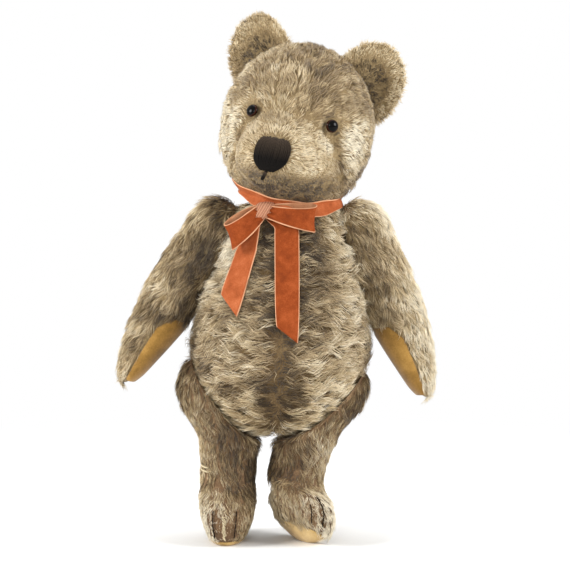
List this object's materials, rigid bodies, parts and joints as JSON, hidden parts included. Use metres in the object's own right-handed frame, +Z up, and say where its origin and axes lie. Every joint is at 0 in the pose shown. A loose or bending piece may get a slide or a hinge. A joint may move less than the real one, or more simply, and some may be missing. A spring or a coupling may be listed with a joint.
{
  "type": "jointed teddy bear",
  "caption": "Worn mohair teddy bear with disc-jointed head, arms and legs, glass eyes, stitched nose, felt pads and a velvet ribbon bow.",
  "frame": {"origin": "centre of the bear's box on the floor it stands on", "axes": "+Z up, the bear faces -Y, +X towards its own left"},
  "size_m": [0.256, 0.1432, 0.4296],
  "materials": {
    "mohair": "worn wavy pile, matted and thin in places",
    "paw_felt": "rubbed felt",
    "sole_felt": "rubbed felt",
    "thread": "stitched thread",
    "glass": "polished dark glass",
    "steel": "plain wire and sheet",
    "board": "pressed board",
    "velvet": "faded velvet ribbon with pale edges"
  },
  "bodies": {
    "arm_left": {"arm_left": "mohair", "paw_pad_left": "paw_felt", "shoulder_left_limb_disc": "board", "shoulder_left_limb_washer": "steel"},
    "arm_right": {"arm_right": "mohair", "paw_pad_right": "paw_felt", "shoulder_right_limb_disc": "board", "shoulder_right_limb_washer": "steel"},
    "head": {"ear_left": "mohair", "ear_right": "mohair", "eye_left": "glass", "eye_right": "glass", "eye_shank_left": "steel", "eye_shank_right": "steel", "head": "mohair", "mouth_stitch": "thread", "neck_limb_disc": "board", "neck_limb_washer": "steel", "nose_stitching": "thread"},
    "leg_left": {"foot_claw_left_inner": "thread", "foot_claw_left_outer": "thread", "foot_pad_left": "sole_felt", "hip_left_limb_disc": "board", "hip_left_limb_washer": "steel", "leg_left": "mohair"},
    "leg_right": {"foot_claw_right_inner": "thread", "foot_claw_right_outer": "thread", "foot_pad_right": "sole_felt", "hip_right_limb_disc": "board", "hip_right_limb_washer": "steel", "leg_right": "mohair"},
    "torso": {"hip_left_body_disc": "board", "hip_left_body_washer": "steel", "hip_left_pin": "steel", "hip_right_body_disc": "board", "hip_right_body_washer": "steel", "hip_right_pin": "steel", "neck_body_disc": "board", "neck_body_washer": "steel", "neck_pin": "steel", "ribbon_bow": "velvet", "shoulder_left_body_disc": "board", "shoulder_left_body_washer": "steel", "shoulder_left_pin": "steel", "shoulder_right_body_disc": "board", "shoulder_right_body_washer": "steel", "shoulder_right_pin": "steel", "torso": "mohair"}
  },
  "joints": [
    {"name": "neck", "type": "hinge", "parent": "torso", "child": "head", "pos_m": [0.01068, 0.02178, 0.276], "axis": [0.1392, 0, 0.9903], "range_deg": [-75, 75]},
    {"name": "shoulder_left", "type": "hinge", "parent": "torso", "child": "arm_left", "pos_m": [0.05529, 0.02178, 0.25141], "axis": [-0.9806, 0, -0.196], "range_deg": [-60, 90]},
    {"name": "shoulder_right", "type": "hinge", "parent": "torso", "child": "arm_right", "pos_m": [-0.03717, 0.02178, 0.25094], "axis": [-0.9354, 0, 0.3535], "range_deg": [-60, 75]},
    {"name": "hip_left", "type": "hinge", "parent": "torso", "child": "leg_left", "pos_m": [0.04783, 0.02779, 0.11442], "axis": [-0.712, -0.1255, 0.6909], "range_deg": [-60, 85]},
    {"name": "hip_right", "type": "hinge", "parent": "torso", "child": "leg_right", "pos_m": [-0.04739, 0.02773, 0.11407], "axis": [-0.7937, 0.14, -0.592], "range_deg": [-60, 85]}
  ]
}
